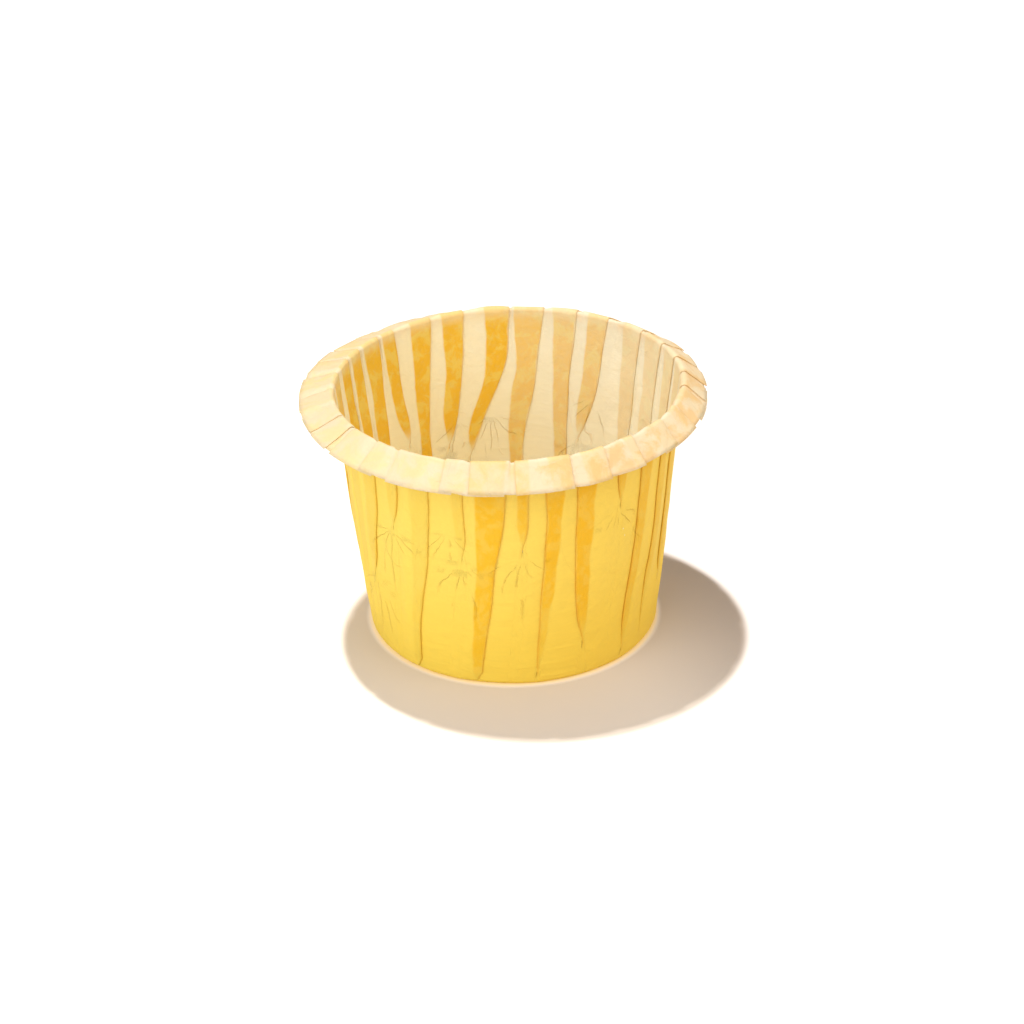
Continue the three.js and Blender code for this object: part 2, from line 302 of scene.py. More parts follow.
@dataclass
class Crumple:
    """The small dents, short folds and fans of creases that the paper has besides its pleats.

    The `tip` numbers shape the two folds below a short pleat, and the `fan` numbers the fans.
    Pairs of numbers are the values between which something comes in.
    """

    pleats: Sequence[Pleat] = PLEATS
    spots: Sequence[Spot] = SPOTS
    wall_height: float = Section.height
    collar_share: float = 0.2
    slow_dents: float = 0.18
    slow_cells: tuple[int, int] = (26, 5)
    fine_dents: float = 0.07
    fine_cells: tuple[int, int] = (64, 14)
    ridges: float = 0.09
    ridge_cells: tuple[int, int] = (34, 9)
    ridge_power: int = 6
    ridge_mean: float = 0.2
    tip_folds: float = 0.16
    tip_above: float = 0.06
    tip_fade_in: Span = (-1.0, 1.5)
    tip_fade_out: Span = (6.0, 10.0)
    tip_spread: Span = (-0.34, 0.3)
    tip_width: float = 0.45
    foot_calm: Span = (0.02, 0.14)
    foot_share: float = 0.4
    tip_reach: float = 6.0
    tip_below: float = 0.02
    fan_height: float = 3.5
    fan_tall: float = 0.45
    fan_core: Span = (0.6, 3.0)
    fan_sides: Span = (0.9, 1.5)
    fan_apart: Span = (0.3, 0.7)
    fan_shift: float = 7.3

    def dents(self, angle: Array, part: float, collar: float, middles: Array) -> Array:
        """Small dents and ridges of the paper, as a distance out from the wall.

        Slow waves, finer dents, and ridged folds made of the distance from noise's zero lines.
        Pleats that begin part way up end in two short folds that spread downward.

        Args:
            angle: angles of a row's points.
            part: the row's height up the wall.
            collar: the row's place along the collar.
            middles: the pleats' angles at the row.

        Returns:
            The distance out at each point.
        """
        share = self.collar_share
        place = np.full_like(angle, (1.0 - share) * part + share * collar)
        dents = self.slow_dents * ring_noise(angle, place, self.slow_cells, Seed.SLOW_DENTS)
        dents += self.fine_dents * ring_noise(angle, place, self.fine_cells, Seed.FINE_DENTS)
        ridge = 1.0 - np.abs(ring_noise(angle, place, self.ridge_cells, Seed.RIDGES))
        dents += self.ridges * (ridge ** self.ridge_power - self.ridge_mean)
        for pleat, middle in zip(self.pleats, middles):
            below = (pleat.start + self.tip_above - part) * self.wall_height
            weight = ease(below, *self.tip_fade_in) * (1.0 - ease(below, *self.tip_fade_out))
            if not pleat.short or weight == 0.0:
                continue
            x = round_wall(angle, middle)
            for spread in self.tip_spread:
                away = np.abs(x - spread * below)
                dents += self.tip_folds * weight * np.exp(-(away / self.tip_width) ** 2)
        start, full = self.foot_calm
        rise = self.foot_share * ease(part, 0.0, start)
        return dents * (rise + (1.0 - self.foot_share) * ease(part, start, full))

    def fans(self, angle: Array, part: Array) -> tuple[Array, Array, Array]:
        """Where the paper is creased, and how those creases spread like a fan from a point.

        The points stand at the tips of the short pleats and at the chosen spots. The creasing
        fades with distance, close to the point, and between two fans. Each point's strongest
        fan gives its direction.

        Args:
            angle: angles of the points, rows by columns.
            part: height of each row up the wall.

        Returns:
            How creased the paper is, from 0 to 1, the direction from the fan's point in
            radians from straight down, and the distance from it.
        """
        spots = [Spot(pleat.at[2], pleat.start - self.tip_below, self.tip_reach, 1.0)
                 for pleat in self.pleats if pleat.short]
        total, second, turn, away = np.zeros((4, *angle.shape))
        for number, spot in enumerate([*spots, *self.spots]):
            x = round_wall(angle, math.radians(spot.at))
            y = (part[:, None] - spot.height) * self.wall_height
            above = self.fan_height - y
            direction, distance = np.arctan2(x, above), np.hypot(x, above)
            creased = spot.strength * np.exp(-(x * x + self.fan_tall * y * y) / spot.reach ** 2)
            sides = 1.0 - ease(np.abs(direction), *self.fan_sides)
            creased *= ease(distance, *self.fan_core) * sides
            strongest = creased > total
            second = np.maximum(second, np.minimum(creased, total))
            total = np.where(strongest, creased, total)
            turn = np.where(strongest, direction + self.fan_shift * number, turn)
            away = np.where(strongest, distance, away)
        apart = ease((total - second) / np.maximum(total, 1e-6), *self.fan_apart)
        return total * apart, turn, away


@dataclass
class Folds:
    """The pleats' sizes at every row.

    The first two arrays hold a number for each row, its radius and its height up the wall, and
    the others rows by pleats. `middle` is the pleat's angle, `half` half its overlap, `fold`
    half the way between its creases, `height` the step between its layers, `corner` the
    rounding of a crease that is still open, `end` how far the pleat's own stretch of the sheet
    goes from its middle, and `lift` how far its outer crease stands off the wall.
    """

    r: Array
    part: Array
    middle: Array
    half: Array
    fold: Array
    height: Array
    corner: Array
    end: Array
    lift: Array


@dataclass
class FoldedSheet:
    """The paper sheet: floor, pleated wall and collar, as one closed skin.

    `layer` is the step between two layers of a pleat, and `closing` the half overlaps between
    which it closes from a flat ripple, `flat_half` and `flat_corner` in size, to three layers.
    """

    section: Section = field(default_factory=Section)
    crumple: Crumple = field(default_factory=Crumple)
    pleats: Sequence[Pleat] = PLEATS
    layer: float = 0.135
    collar_press: float = 0.2
    fold_ease: float = 0.32
    flat_half: float = 0.5
    flat_corner: float = 0.16
    opening: float = 0.2
    closing: Span = (0.05, 0.75)
    stray_angle: float = 0.002
    stray_width: float = 0.07
    lift_press: float = 0.6
    lift_press_rows: Span = (0.85, 1.0)
    bulge_range: Span = (-0.10, 0.16)
    bulge_rise: Span = (0.02, 0.3)
    step_share: float = 0.4
    rim_fade: float = 0.6
    rim_fade_start: float = 0.955
    floor_rows: Sequence[float] = (0.4, 0.75, 0.93, 1.0)
    heel_rows: int = 4
    wall_rows: int = 29
    bend_rows: int = 5
    collar_rows: int = 6
    gap_columns: int = 5
    flat_reach: float = 82.0
    name: str = "cupcake_liner_paper"

    def rows(self) -> list[tuple[Zone, float]]:
        """The rows of points from the floor outward, as a zone and a place in it."""
        rows = [(Zone.FLOOR, part) for part in self.floor_rows]
        for zone, count in ((Zone.HEEL, self.heel_rows), (Zone.WALL, self.wall_rows),
                            (Zone.BEND, self.bend_rows), (Zone.COLLAR, self.collar_rows)):
            rows += [(zone, (step + 1) / count) for step in range(count)]
        return rows

    def row_sizes(self) -> tuple[Array, Array, Array]:
        """Mean radius, distance along the paper and height up the wall of every row.

        Returns:
            The radius, the distance from the sheet's centre, and the part of the wall's length.
        """
        angle = np.array([math.pi / 2.0])
        points = [self.section.at(zone, part, angle, 0.0 * angle) for zone, part in self.rows()]
        r = np.array([float(point[0][0]) for point in points])
        z = np.array([float(point[1][0]) for point in points])
        steps = np.hypot(np.diff(r, prepend=0.0), np.diff(z, prepend=z[0]))
        along = np.cumsum(steps)
        first = len(self.floor_rows) - 1
        last = len(self.floor_rows) + self.heel_rows + self.wall_rows - 1
        part = np.clip((along - along[first]) / (along[last] - along[first]), 0.0, 1.0)
        return r, along, part

    def pleat_angles(self, part: Array) -> Array:
        """The middle angle of every pleat at every row, on a smooth line through its angles.

        Between two given heights the line blends the slopes there with the eased cubic of
        Hermite, so that it has no kink.
        """
        given = np.radians([pleat.at for pleat in self.pleats])
        slope = np.gradient(given, axis=1)
        place = np.clip(part, 0.0, 1.0) * (given.shape[1] - 1)
        low = np.minimum(np.floor(place).astype(int), given.shape[1] - 2)
        t = (place - low)[:, None]
        start, end = given[:, low].T, given[:, low + 1].T
        out, into = slope[:, low].T, slope[:, low + 1].T
        rise = t * t * (3.0 - 2.0 * t)
        return (start * (1.0 - rise) + end * rise + out * t * (1.0 - t) ** 2
                - into * t * t * (1.0 - t))

    def half_folds(self, angles: Array, r: Array, along: Array, part: Array) -> Array:
        """Half the overlap of every pleat at every row.

        A flat disc has pi * (distance - radius) of paper to spare over two layers, and the
        pleats that have begun by that row share it. Neighbours that would meet are narrowed.

        Args:
            angles: the pleats' angles, rows by pleats.
            r: radius of each row.
            along: distance of each row from the sheet's centre.
            part: height of each row up the wall.

        Returns:
            Half widths, rows by pleats.
        """
        width = np.array([pleat.width for pleat in self.pleats])
        start = np.array([pleat.start for pleat in self.pleats])
        share = width * ease(part[:, None] - start, 0.0, self.opening)
        total = np.maximum(share.sum(axis=1, keepdims=True), 1e-6)
        half = (math.pi * np.maximum(along - r, 0.0) / 2.0)[:, None] * share / total
        free = np.roll(angles, -1, axis=1) - angles
        free[:, -1] += FULL_TURN
        free = free * r[:, None] - 3.0 * self.fold_ease
        room = np.minimum(1.0, free / np.maximum(half + np.roll(half, -1, axis=1), self.fold_ease))
        return half * np.minimum(room, np.roll(room, 1, axis=1))

    def stray(self, part: Array, amount: float, seed: Seed) -> Array:
        """A small uneven wave up each pleat: two sines of random pitch and phase.

        Args:
            part: height of each row up the wall.
            amount: the wave's size.
            seed: start of the random draws.

        Returns:
            The wave, rows by pleats, which dies away at the rim.
        """
        rng = np.random.default_rng(seed.value)
        pitch = rng.uniform((1.2, 2.6), (2.4, 4.4), (len(self.pleats), 2))
        phase = rng.uniform(0.0, FULL_TURN, (len(self.pleats), 2))
        turn = FULL_TURN * part[:, None, None] * pitch + phase
        wave = (np.sin(turn) * (1.0, 0.6)).sum(axis=2)
        return amount * wave * (1.0 - 0.7 * ease(part, 0.75, 1.0))[:, None]

    def fold_line(self) -> Array:
        """How the sheet runs through one pleat.

        Each row of the result holds the weights by which the four lengths of a pleat make the
        distance along the wall, the weight of the layer height, and the place within the cut
        edge's jump. The lengths are the pleat's end, half fold, layer height and corner. The
        sheet runs in as the outer layer, turns back round an arc, runs on as the middle layer,
        turns again, and runs out as the inner layer, which mirrors the outer one.

        Returns:
            One row per point: end, fold, layer and corner weights, height, jump, and nearness
            to the outer crease.
        """
        first = [(u - 1.0, u, -0.5 * u, -u, 1.0, -1.0, u) for u in np.linspace(0.0, 1.0, 6)]
        for turn in np.radians((45.0, 0.0, -45.0)):
            c, s = math.cos(turn), math.sin(turn)
            first.append((0.0, 1.0, 0.5 * c - 0.5, -s, 0.5 + 0.5 * s, -1.0, 0.5 + 0.5 * s))
        middle = [(0.0, 1.0 - 2.0 * u, u - 0.5, 1.0 - 2.0 * u, 0.0, 2.0 * u - 1.0, 0.0)
                  for u in np.linspace(0.0, 1.0, 5)]
        last = np.array(first[::-1]) * (-1, -1, -1, -1, -1, -1, 0)
        return np.concatenate([first, middle, last])

    def folds(self) -> Folds:
        """The pleats' sizes at every row.

        A pleat opens from plain paper as its overlap grows. Its layers are pressed closer
        together on the collar, and its outer crease lies closer to the wall near the rim.

        Returns:
            The sizes.
        """
        r, along, part = self.row_sizes()
        middle = self.pleat_angles(part) + self.stray(part, self.stray_angle, Seed.PLEAT_LINES)
        uneven = 1.0 + self.stray(part, self.stray_width, Seed.PLEAT_WIDTHS)
        half = self.half_folds(middle, r, along, part) * uneven
        closed = ease(half, *self.closing)
        fold = half - self.flat_half * (1.0 - closed)
        corner = self.flat_corner * (1.0 - closed)
        bend, collar = along[1 - self.collar_rows - self.bend_rows], along[-self.collar_rows]
        pressed = 1.0 - self.collar_press * ease(along, bend, collar)
        lying = 1.0 - self.lift_press * ease(part, *self.lift_press_rows)
        lift = np.array([pleat.lift for pleat in self.pleats]) * lying[:, None] * closed
        return Folds(r=r, part=part, middle=middle, half=half, fold=fold,
                     height=self.layer * closed * pressed[:, None], corner=corner,
                     end=np.abs(fold) + corner + self.fold_ease, lift=lift)

    def pleat_part(self, i: int, folds: Folds) -> dict[str, Array]:
        """The sheet's columns through one pleat.

        Args:
            i: the pleat's number.
            folds: the pleats' sizes.

        Returns:
            The named arrays of `lines` for these columns.
        """
        pleat, line = self.pleats[i], self.fold_line()
        if pleat.side < 0:
            line = line[::-1] * [-1, -1, -1, -1, 1, -1, 1]
        fold, height = folds.fold[:, i, None], folds.height[:, i, None]
        x = (folds.end[:, i, None] * line[:, 0] + fold * line[:, 1]
             + height * line[:, 2] + folds.corner[:, i, None] * line[:, 3])
        crease = pleat.side * fold
        return {"angle": folds.middle[:, i, None] + x / folds.r[:, None],
                "out": height * line[:, 4] + folds.lift[:, i, None] * line[:, 6] ** 3,
                "inside": fold - np.abs(x),
                "depth": np.broadcast_to(folds.half[:, i, None], x.shape),
                "tone": np.full(x.shape, pleat.tone),
                "sharp": np.stack([np.abs(x - crease), np.abs(x + crease)]),
                "reach": self.step_share * pleat.step * line[:, 5]}

    def gap_part(self, i: int, folds: Folds, bulge: float) -> dict[str, Array]:
        """The sheet's columns between one pleat and the next, in one layer.

        Args:
            i: the number of the pleat before the gap.
            folds: the pleats' sizes.
            bulge: how far the paper stands out in the middle of the gap.

        Returns:
            The named arrays of `lines` for these columns.
        """
        j = (i + 1) % len(self.pleats)
        pleat, ahead = self.pleats[i], self.pleats[j]
        r, fold, next_fold = folds.r[:, None], folds.fold[:, i, None], folds.fold[:, j, None]
        start = folds.middle[:, i, None]
        stop = folds.middle[:, j, None] + (FULL_TURN if j == 0 else 0.0)
        low, high = start + folds.end[:, i, None] / r, stop - folds.end[:, j, None] / r
        blend = (np.arange(self.gap_columns) + 1.0) / (self.gap_columns + 1.0)
        angle = low + (high - low) * blend
        after, before = (angle - start) * r, (stop - angle) * r
        near, far = fold - after, next_fold - before
        crease, next_crease = pleat.side * fold, ahead.side * next_fold
        out = -pleat.side * folds.height[:, i, None]
        next_out = ahead.side * folds.height[:, j, None]
        swell = bulge * np.sin(math.pi * blend) * ease(folds.part, *self.bulge_rise)[:, None]
        step, next_step = self.step_share * pleat.step, -self.step_share * ahead.step
        return {"angle": angle,
                "out": out + (next_out - out) * ease(blend, 0.0, 1.0) + swell,
                "inside": np.maximum(near, far),
                "depth": np.where(near > far, folds.half[:, i, None], folds.half[:, j, None]),
                "tone": np.where(near > far, pleat.tone, ahead.tone),
                "sharp": np.stack([
                    np.minimum(np.abs(after - crease), np.abs(before + next_crease)),
                    np.minimum(np.abs(after + crease), np.abs(before - next_crease))]),
                "reach": step + (next_step - step) * blend}

    def lines(self) -> dict[str, Array]:
        """The sheet's middle line at every row, with what the finish needs to know.

        Returns:
            Arrays of rows by columns. `angle` is the point's angle and `out` its height out
            from the wall. `inside` is the distance inside the overlap, negative outside it,
            `depth` half the nearest overlap, and `tone` the depth of its colour, partly painted
            shade. `sharp` is the distance from the crease that shows, for each of the two faces.
            `reach` has one number for each column, how much longer than usual the collar is.
        """
        folds = self.folds()
        rng = np.random.default_rng(Seed.BULGES.value)
        parts = []
        for i, bulge in enumerate(rng.uniform(*self.bulge_range, len(self.pleats))):
            parts += [self.pleat_part(i, folds), self.gap_part(i, folds, bulge)]
        return {key: np.concatenate([part[key] for part in parts], axis=-1) for key in parts[0]}

    def collar_colour(self, part: Array) -> Array:
        """How far each row has the collar's colour, which comes in over the rim's bend."""
        share = self.rim_fade * ease(part, self.rim_fade_start, 1.0)
        for row, (zone, place) in enumerate(self.rows()):
            if zone is Zone.BEND:
                share[row] = max(place, share[row])
            if zone is Zone.COLLAR:
                share[row] = 1.0
        return share

    def flat_turn(self, angle: Array, out: Array, r: Array) -> Array:
        """Each column's angle on the flat sheet, by its share of the sheet's length at the rim.

        Args:
            angle: angles of the points, rows by columns.
            out: their heights out from the wall.
            r: radius of each row.

        Returns:
            The angle of each column.
        """
        rim = len(r) - self.collar_rows - 2
        ahead = np.append(angle[rim, 1:], angle[rim, 0] + FULL_TURN)
        steps = np.hypot((ahead - angle[rim]) * r[rim], np.roll(out[rim], -1) - out[rim])
        return FULL_TURN * (np.cumsum(steps) - steps) / steps.sum()

    def surface(self) -> tuple[Array, dict[str, Array]]:
        """Every point of both faces, and the numbers that the finish reads at each.

        A point lies on the section at its angle, moved along the section's outward direction
        by the fold's height, the crumple and half the paper's thickness.

        Returns:
            Points as faces by rows by columns by 3, and the named numbers in the same order.
        """
        r, along, part = self.row_sizes()
        middles, lines = self.pleat_angles(part), self.lines()
        angle, out, reach = lines["angle"], lines["out"], lines["reach"]
        ahead, behind = np.roll(angle, -1, axis=1), np.roll(angle, 1, axis=1)
        ahead[:, -1] += FULL_TURN
        behind[:, 0] -= FULL_TURN
        dx = (ahead - behind) * r[:, None]
        dy = np.roll(out, -1, axis=1) - np.roll(out, 1, axis=1)
        run = np.hypot(dx, dy)
        points = []
        for face in Face:
            offset = face.value * self.section.paper / 2.0
            around = angle - dy / run * offset / r[:, None]
            away = out + dx / run * offset
            rows = []
            for k, (zone, place) in enumerate(self.rows()):
                collar = place if zone is Zone.COLLAR else 0.0
                rr, zz, nr, nz = self.section.at(zone, place, around[k], reach)
                lift = away[k] + self.crumple.dents(around[k], part[k], collar, middles[k])
                rr, zz = rr + nr * lift, zz + nz * lift
                rows.append(np.stack([rr * np.cos(around[k]), rr * np.sin(around[k]), zz], -1))
            points.append(rows)
        flat = self.flat_turn(angle, out, r)
        creased, turned, distant = self.crumple.fans(angle, part)
        twice = partial(on_both_faces, angle.shape)
        numbers = {
            "overlap": twice(lines["inside"]),
            "depth": twice(lines["depth"]),
            "tone": twice(lines["tone"]),
            "sharp": lines["sharp"],
            "crumpled": twice(creased),
            "fan_turn": twice(turned),
            "fan_reach": twice(distant),
            "side": np.stack([np.full(angle.shape, float(face.value)) for face in Face]),
            "collar": twice(self.collar_colour(part)[:, None]),
            "u": twice(along[:, None] * np.cos(flat)),
            "v": twice(along[:, None] * np.sin(flat)),
        }
        LOG.info("rows %d, columns %d", *angle.shape)
        return np.array(points), numbers

    def faces(self, rows: int, columns: int) -> Array:
        """Quads of the closed skin, with triangles round the two centres of the floor.

        Args:
            rows: rows of points on each face.
            columns: points in each row.

        Returns:
            Vertex numbers, four to a face, with -1 as the last one of a triangle.
        """
        here = np.arange(columns)
        there = (here + 1) % columns
        size = rows * columns
        quads = []
        for k in range(rows - 1):
            low, high = k * columns, (k + 1) * columns
            quads.append(np.stack([low + here, low + there, high + there, high + here], -1))
            quads.append(size + np.stack([high + here, high + there, low + there, low + here], -1))
        last = (rows - 1) * columns
        quads.append(np.stack([last + here, last + there,
                               size + last + there, size + last + here], -1))
        none = np.full(columns, -1)
        pole = np.full(columns, 2 * size)
        quads.append(np.stack([pole, there, here, none], -1))
        quads.append(np.stack([pole + 1, size + here, size + there, none], -1))
        return np.concatenate(quads)

    def build(self) -> bpy.types.Object:
        """Make the sheet's object, with its numbers as point attributes and its flat UV map.

        Returns:
            The object, standing where the CAD node stands.
        """
        points, numbers = self.surface()
        poles = np.array([[0.0, 0.0, 0.0], [0.0, 0.0, self.section.paper]])
        vertices = np.concatenate([points.reshape(-1, 3), poles]) * MILLIMETRE
        mesh = mesh_from(self.name, vertices, self.faces(*points.shape[1:3]))
        flat = np.stack([numbers.pop("u").ravel(), numbers.pop("v").ravel()], -1)
        flat = 0.5 + np.concatenate([flat, np.zeros((2, 2))]) / (2.0 * self.flat_reach)
        for key, values in numbers.items():
            layer = mesh.attributes.new(key, "FLOAT", "POINT")
            at_poles = POLE_NUMBERS.get(key, (0.0, 0.0))
            layer.data.foreach_set("value", np.concatenate([values.ravel(), at_poles]))
        corner = np.empty(len(mesh.loops), dtype=np.int32)
        mesh.loops.foreach_get("vertex_index", corner)
        sheet = mesh.uv_layers.new(name="flat_sheet")
        sheet.data.foreach_set("uv", flat[corner].ravel())
        mesh.polygons.foreach_set("use_smooth", np.ones(len(mesh.polygons), dtype=bool))
        piece = bpy.data.objects.new(self.name, mesh)
        bpy.context.collection.objects.link(piece)
        return piece


def mesh_from(name: str, vertices: Array, faces: Array) -> bpy.types.Mesh:
    """Put vertices and faces into a new mesh.

    Args:
        name: the mesh's name.
        vertices: points in metres.
        faces: four vertex numbers to a face, with -1 as the last one of a triangle.

    Returns:
        The mesh.
    """
    mesh = bpy.data.meshes.new(name)
    used = faces >= 0
    counts = used.sum(axis=1)
    mesh.vertices.add(len(vertices))
    mesh.vertices.foreach_set("co", vertices.astype(np.float32).ravel())
    mesh.loops.add(int(counts.sum()))
    mesh.loops.foreach_set("vertex_index", faces[used].astype(np.int32))
    mesh.polygons.add(len(faces))
    starts = (np.cumsum(counts) - counts).astype(np.int32)
    mesh.polygons.foreach_set("loop_start", starts)
    mesh.update(calc_edges=True)
    mesh.validate()
    return mesh


class Wire:
    """A number in a material. Arithmetic on it adds the Math nodes that work it out."""

    def __init__(self, bench: "NodeBench", socket: Any) -> None:
        """Wrap a socket of the bench's node tree."""
        self.bench = bench
        self.socket = socket

    def _math(self, operation: str, *values: Any) -> "Wire":
        """A Math node of one operation on the given values."""
        node = self.bench.node("ShaderNodeMath", {"operation": operation}, dict(enumerate(values)))
        return Wire(self.bench, node.outputs[0])

    def __add__(self, other: Any) -> "Wire":
        """The sum."""
        return self._math("ADD", self, other)

    def __sub__(self, other: Any) -> "Wire":
        """The difference."""
        return self._math("SUBTRACT", self, other)

    def __rsub__(self, other: Any) -> "Wire":
        """The difference, from a plain number."""
        return self._math("SUBTRACT", other, self)

    def __mul__(self, other: Any) -> "Wire":
        """The product."""
        return self._math("MULTIPLY", self, other)

    __radd__ = __add__
    __rmul__ = __mul__

    def size(self) -> "Wire":
        """The value without its sign."""
        return self._math("ABSOLUTE", self)

    def least(self, limit: float) -> "Wire":
        """The value, but no more than a limit."""
        return self._math("MINIMUM", self, limit)

    def fraction(self) -> "Wire":
        """What is left of the value above the whole number below it."""
        return self._math("FRACT", self)

    def step(self, low: float, high: float) -> "Wire":
        """The smooth step from 0 at `low` to 1 at `high`."""
        node = self.bench.node("ShaderNodeMapRange", {"interpolation_type": "SMOOTHSTEP"},
                               {"Value": self, "From Min": low, "From Max": high})
        return Wire(self.bench, node.outputs["Result"])


@dataclass(frozen=True)
class Noise:
    """One noise: its waves to a unit, its octaves, their roughness, and how far it is bent."""

    scale: float
    detail: float = 2.0
    rough: float = 0.5
    bent: float = 0.0


class NodeBench:
    """The node tree of a material or a world, and the one way in which nodes are put into it."""

    def __init__(self, owner: bpy.types.ID) -> None:
        """Empty the owner's node tree and work on it."""
        owner.use_nodes = True
        self.tree = owner.node_tree
        self.tree.nodes.clear()

    def node(self, kind: str, settings: dict[str, Any], sockets: dict[Any, Any]) -> Any:
        """Add a node, set what it is, then give its sockets values or links.

        Args:
            kind: the node's type.
            settings: its own properties, set first.
            sockets: socket names or numbers, with a value, a wire or a socket for each.

        Returns:
            The node.
        """
        node = self.tree.nodes.new(kind)
        for key, value in settings.items():
            setattr(node, key, value)
        for key, value in sockets.items():
            target = node.inputs[key]
            value = value.socket if isinstance(value, Wire) else value
            if isinstance(value, bpy.types.NodeSocket):
                self.tree.links.new(value, target)
            else:
                target.default_value = value
        return node

    def number(self, name: str) -> Wire:
        """A number stored at the piece's points."""
        node = self.node("ShaderNodeAttribute", {"attribute_name": name}, {})
        return Wire(self, node.outputs["Fac"])

    def noise(self, vector: Any, noise: Noise) -> Wire:
        """Noise over a vector, about 0 to 1."""
        node = self.node("ShaderNodeTexNoise", {"noise_dimensions": "3D"},
                         {"Vector": vector, "Scale": noise.scale, "Detail": noise.detail,
                          "Roughness": noise.rough, "Distortion": noise.bent})
        return Wire(self, node.outputs[0])

    def shown(self) -> Wire:
        """1 for rays from the camera or by way of shiny or clear things, 0 for other light."""
        path = self.node("ShaderNodeLightPath", {}, {}).outputs
        camera, glossy, clear = (Wire(self, path[name]) for name in (
            "Is Camera Ray", "Is Glossy Ray", "Is Transmission Ray"))
        return (camera + glossy + clear).least(1.0)

    def split(self, vector: Any) -> tuple[Wire, Wire, Wire]:
        """The three parts of a vector."""
        x, y, z = self.node("ShaderNodeSeparateXYZ", {}, {0: vector}).outputs
        return Wire(self, x), Wire(self, y), Wire(self, z)

    def blend(self, factor: Any, first: Any, second: Any, mode: str = "MIX") -> Any:
        """Mix two colours, each given as a colour or a socket.

        Args:
            factor: how much of the second colour.
            first: the first colour.
            second: the second colour.
            mode: Blender's name for the way of mixing.

        Returns:
            The socket of the mixed colour.
        """
        node = self.node("ShaderNodeMix", {"data_type": "RGBA", "blend_type": mode},
                         {0: factor, 6: first, 7: second})
        return node.outputs[2]


def facing(direction: Sequence[float]) -> Euler:
    """The turn that points a lamp along a direction."""
    return Vector(direction).to_track_quat("-Z", "Y").to_euler()


def colour(text: str) -> tuple[float, ...]:
    """A screen colour such as F8CE50 as the linear colour that a socket takes."""
    parts = [int(text[i:i + 2], 16) / 255.0 for i in (0, 2, 4)]
    linear = [p / 12.92 if p <= 0.04045 else ((p + 0.055) / 1.055) ** 2.4 for p in parts]
    return (linear[0], linear[1], linear[2], 1.0)


